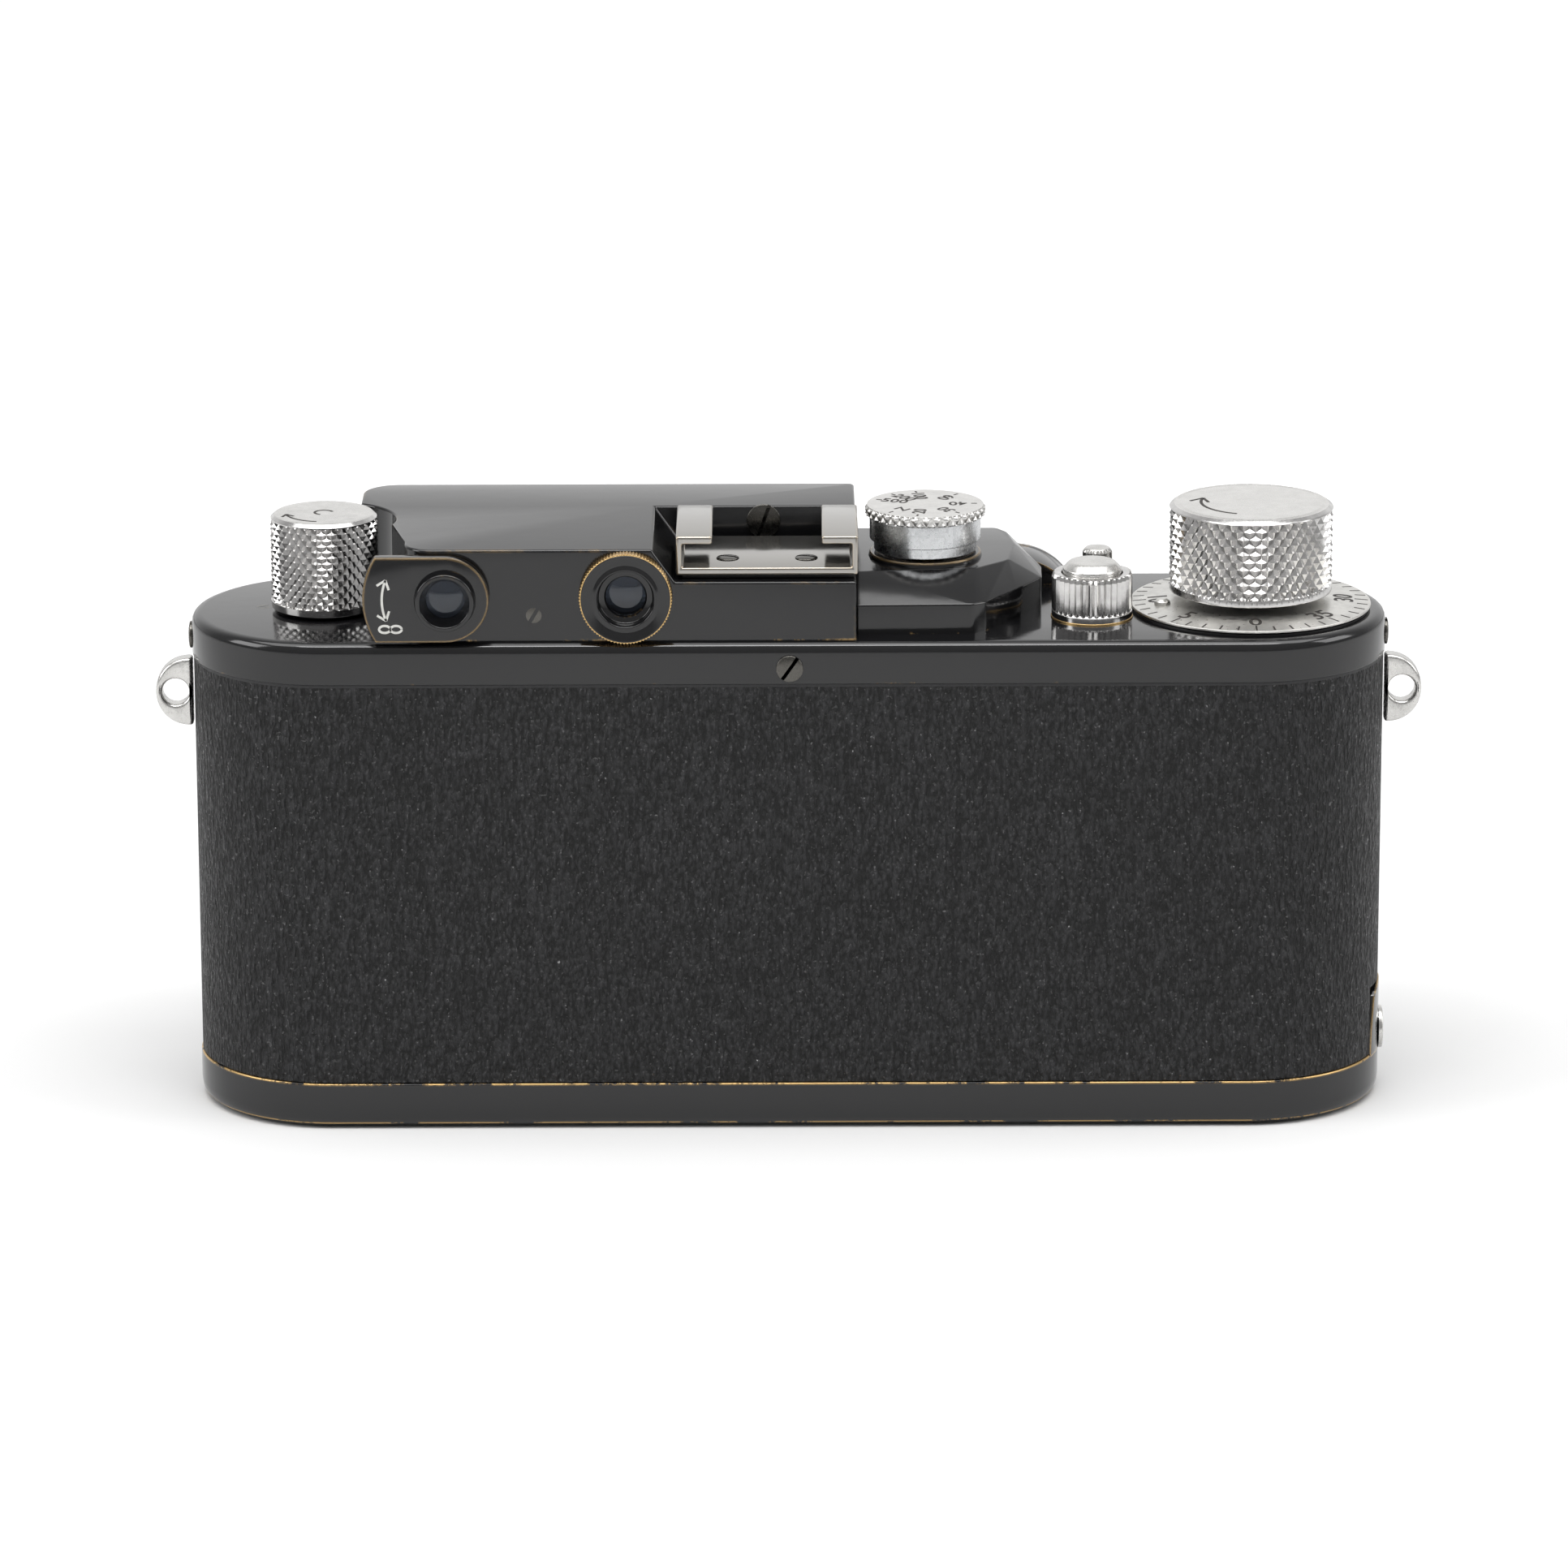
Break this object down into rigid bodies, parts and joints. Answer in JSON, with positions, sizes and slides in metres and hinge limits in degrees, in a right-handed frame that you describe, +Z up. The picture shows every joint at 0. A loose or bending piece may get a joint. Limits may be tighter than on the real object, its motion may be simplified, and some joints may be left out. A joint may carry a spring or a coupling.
{
  "type": "rangefinder camera",
  "caption": "Compact 35 mm rangefinder camera with top-plate dials and knobs, finder housing, accessory shoe, removable base and collapsible lens.",
  "frame": {"origin": "centre of the base plate's underside, on the surface the camera stands on", "axes": "+X to the viewer's right along the body, +Y out of the lens towards the subject, +Z up"},
  "size_m": [0.1414, 0.0508, 0.0679],
  "materials": {
    "enamel": "glossy black enamel over brass, worn to bright metal along edges",
    "covering": "hard black moulded covering with a fine vertical grain",
    "brass": "machined brass",
    "nickel": "satin nickel and chrome, knurled and brushed",
    "steel": "plain machined steel",
    "glass": "polished optical glass",
    "cloth": "rubberised black shutter cloth",
    "casting": "dull cast light alloy"
  },
  "bodies": {
    "body": {"body_shell": "casting", "body_covering": "covering", "top_plate": "enamel", "skirt_screw_back": "nickel", "skirt_screw_left": "nickel", "skirt_screw_right": "nickel", "strap_lug_left": "nickel", "strap_lug_right": "nickel", "finder_housing": "enamel", "rangefinder_window_left": "glass", "rangefinder_window_right": "glass", "viewfinder_front_window": "glass", "viewfinder_eyepiece": "nickel", "viewfinder_eye_lens": "glass", "accessory_shoe": "enamel", "shoe_screw_left": "steel", "shoe_screw_right": "steel", "housing_screw": "nickel", "finder_adjust_screw": "nickel", "speed_dial_plinth": "enamel", "slow_speed_housing": "enamel", "release_collar": "nickel", "mechanism_plate": "steel", "shutter_crate": "casting", "shutter_curtain": "cloth", "pressure_plate": "steel", "lens_flange": "nickel", "lens_mount": "nickel"},
    "wind": {"wind_knob": "nickel", "wind_shaft": "steel", "wind_gear": "brass", "take_up_spool": "steel"},
    "counter": {"counter_dial": "nickel"},
    "transport": {"film_sprocket": "brass"},
    "drum": {"curtain_drum": "brass"},
    "roller": {"tension_roller": "steel"},
    "dial_collar": {"speed_dial_collar": "steel"},
    "dial": {"speed_dial_drum": "nickel", "speed_dial_cap": "nickel"},
    "slow": {"slow_speed_dial": "nickel"},
    "release": {"release_button": "nickel"},
    "reversing": {"reversing_lever": "nickel"},
    "rewind_sleeve": {"rewind_sleeve": "brass"},
    "rewind": {"rewind_knob": "nickel", "rewind_shaft": "steel"},
    "diopter": {"diopter_lever": "enamel", "rangefinder_eye_lens": "glass"},
    "base": {"base_plate": "enamel", "base_stud": "nickel", "tripod_bush": "steel"},
    "key": {"base_key": "nickel"},
    "bow": {"base_key_bow": "nickel"},
    "focus": {"focus_ring": "nickel"},
    "helicoid": {"helicoid_sleeve": "brass"},
    "tube": {"lens_tube": "nickel", "lens_front_ring": "nickel", "front_glass": "glass", "rear_glass": "glass"},
    "aperture": {"aperture_ring": "nickel"},
    "arm": {"rangefinder_arm": "steel"}
  },
  "joints": [
    {"name": "wind_turn", "type": "hinge", "parent": "body", "child": "wind", "pos_m": [0.05146, 0, 0.06], "axis": [0, 0, 1], "continuous": true},
    {"name": "counter_turn", "type": "hinge", "parent": "body", "child": "counter", "pos_m": [0.05146, 0, 0.0565], "axis": [0, 0, 1], "continuous": true},
    {"name": "transport_turn", "type": "hinge", "parent": "body", "child": "transport", "pos_m": [0.03365, -0.0042, 0.03], "axis": [0, 0, 1], "continuous": true},
    {"name": "drum_turn", "type": "hinge", "parent": "body", "child": "drum", "pos_m": [0.01522, 0, 0.03], "axis": [0, 0, 1], "continuous": true},
    {"name": "roller_turn", "type": "hinge", "parent": "body", "child": "roller", "pos_m": [-0.02698, -0.0036, 0.03], "axis": [0, 0, 1], "continuous": true},
    {"name": "dial_lift", "type": "slide", "parent": "drum", "child": "dial_collar", "axis": [0, 0, 1], "range_m": [0, 0.0015], "stiffness_N_per_m": 200, "springref_m": -0.002},
    {"name": "dial_turn", "type": "hinge", "parent": "dial_collar", "child": "dial", "pos_m": [0.01522, 0, 0.066], "axis": [0, 0, 1], "range_deg": [-30, 280]},
    {"name": "slow_turn", "type": "hinge", "parent": "body", "child": "slow", "pos_m": [0.02552, 0.018, 0.0516], "axis": [0, 1, 0], "range_deg": [0, 300]},
    {"name": "release_press", "type": "slide", "parent": "body", "child": "release", "axis": [0, 0, -1], "range_m": [0, 0.0016], "stiffness_N_per_m": 300, "springref_m": -0.002},
    {"name": "reversing_swing", "type": "hinge", "parent": "body", "child": "reversing", "pos_m": [0.0365, 0.012, 0.057], "axis": [0, 0, 1], "range_deg": [0, 40]},
    {"name": "rewind_lift", "type": "slide", "parent": "body", "child": "rewind_sleeve", "axis": [0, 0, 1], "range_m": [0, 0.004]},
    {"name": "rewind_turn", "type": "hinge", "parent": "rewind_sleeve", "child": "rewind", "pos_m": [-0.0516, 0, 0.06], "axis": [0, 0, 1], "continuous": true},
    {"name": "diopter_swing", "type": "hinge", "parent": "body", "child": "diopter", "pos_m": [-0.0376, -0.015, 0.0611], "axis": [0, 1, 0], "range_deg": [0, 60]},
    {"name": "base_open", "type": "hinge", "parent": "body", "child": "base", "pos_m": [0.0665, 0, 0.0129], "axis": [0, 1, 0], "range_deg": [-25, 0]},
    {"name": "key_turn", "type": "hinge", "parent": "base", "child": "key", "pos_m": [-0.0516, 0, 0.001], "axis": [0, 0, 1], "range_deg": [0, 180]},
    {"name": "key_fold", "type": "hinge", "parent": "key", "child": "bow", "pos_m": [-0.0516, 0, 0.00052], "axis": [1, 0, 0], "range_deg": [0, 90]},
    {"name": "focus_turn", "type": "hinge", "parent": "body", "child": "focus", "pos_m": [-0.00398, 0.021, 0.0283], "axis": [0, 1, 0], "range_deg": [-160, 0]},
    {"name": "focus_advance", "type": "slide", "parent": "body", "child": "helicoid", "axis": [0, 1, 0], "range_m": [0, 0.0029]},
    {"name": "arm_swing", "type": "hinge", "parent": "body", "child": "arm", "pos_m": [-0.02398, 0.0067, 0.042], "axis": [0, 0, 1], "range_deg": [0, 8.5]},
    {"name": "tube_pull", "type": "slide", "parent": "helicoid", "child": "tube", "axis": [0, 1, 0], "range_m": [0, 0.016]},
    {"name": "aperture_turn", "type": "hinge", "parent": "tube", "child": "aperture", "pos_m": [-0.00398, 0.031, 0.0283], "axis": [0, 1, 0], "range_deg": [0, 120]}
  ],
  "couplings": [
    {"joint": "counter_turn", "follows": "wind_turn", "ratio": -0.019853},
    {"joint": "transport_turn", "follows": "wind_turn", "ratio": -1.2593},
    {"joint": "drum_turn", "follows": "wind_turn", "ratio": 0.94444},
    {"joint": "roller_turn", "follows": "wind_turn", "ratio": 2.7339},
    {"joint": "focus_turn", "follows": "focus_advance", "rad_per_m": -962.93},
    {"joint": "arm_swing", "follows": "focus_advance", "rad_per_m": 50.17}
  ]
}
